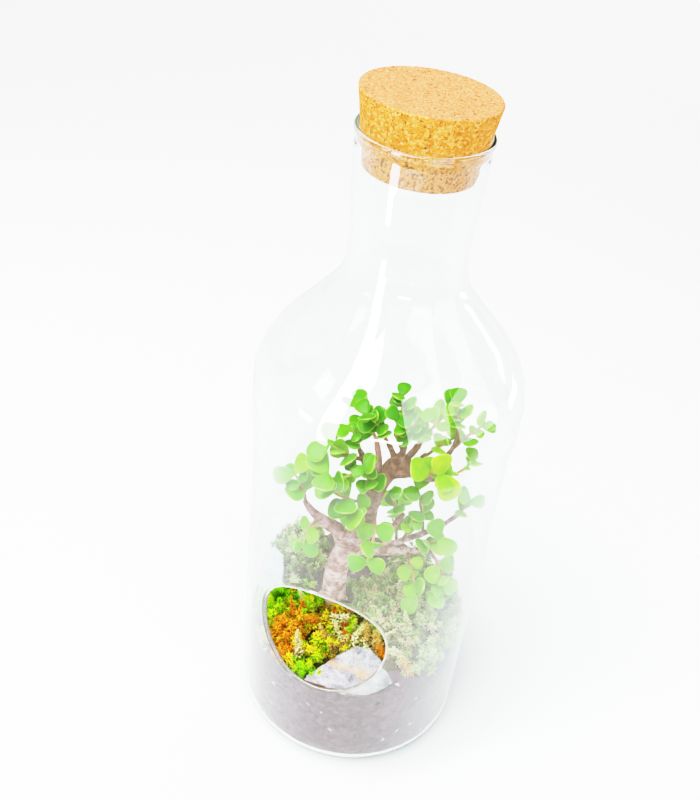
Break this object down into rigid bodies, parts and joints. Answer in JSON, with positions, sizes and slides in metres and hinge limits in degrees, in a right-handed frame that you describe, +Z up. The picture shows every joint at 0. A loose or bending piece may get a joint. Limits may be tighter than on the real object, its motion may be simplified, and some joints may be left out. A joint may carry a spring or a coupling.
{
  "type": "glass plant terrarium",
  "caption": "Blown glass bottle with a round side window and a cork, planted with a small bonsai succulent over soil, moss and stones.",
  "frame": {"origin": "centre of the bottle's base, on the surface it stands on", "axes": "+Z up the bottle to the cork, -Y out through the middle of the side window"},
  "size_m": [0.12, 0.1202, 0.3444],
  "materials": {
    "clear_glass": "gloss",
    "cork": "matte",
    "potting_soil": "matte",
    "moss_vivid": "matte",
    "moss_olive": "matte",
    "stone_grey": "matte",
    "stone_pale": "matte",
    "bark": "matte",
    "leaf": "satin"
  },
  "bodies": {
    "root": {"glass_bottle": "clear_glass", "cork_stopper": "cork", "soil": "potting_soil", "moss_front": "moss_vivid", "moss_right": "moss_olive", "moss_left": "moss_olive", "stone_front": "stone_grey", "stone_pale": "stone_pale", "plant_wood": "bark", "spray_crown_top": "leaf", "spray_crown_left": "leaf", "spray_crown_front": "leaf", "spray_stem_top": "leaf", "spray_stem_side": "leaf", "spray_front_left": "leaf", "spray_left_end": "leaf", "spray_left_low": "leaf", "spray_front_drop": "leaf", "spray_front_middle": "leaf", "spray_centre": "leaf", "spray_front_right": "leaf", "spray_right_up": "leaf", "spray_pale": "leaf", "spray_tall_right": "leaf", "spray_tall_side": "leaf", "spray_middle_right": "leaf", "spray_far_right": "leaf", "spray_low_twig": "leaf", "spray_low_right": "leaf", "spray_low_middle": "leaf", "spray_front_low": "leaf", "spray_low_top": "leaf", "spray_crown_right": "leaf", "spray_stem_low": "leaf", "spray_middle_low": "leaf", "spray_back_left": "leaf", "spray_back_right": "leaf", "spray_back_low": "leaf"}
  },
  "joints": []
}
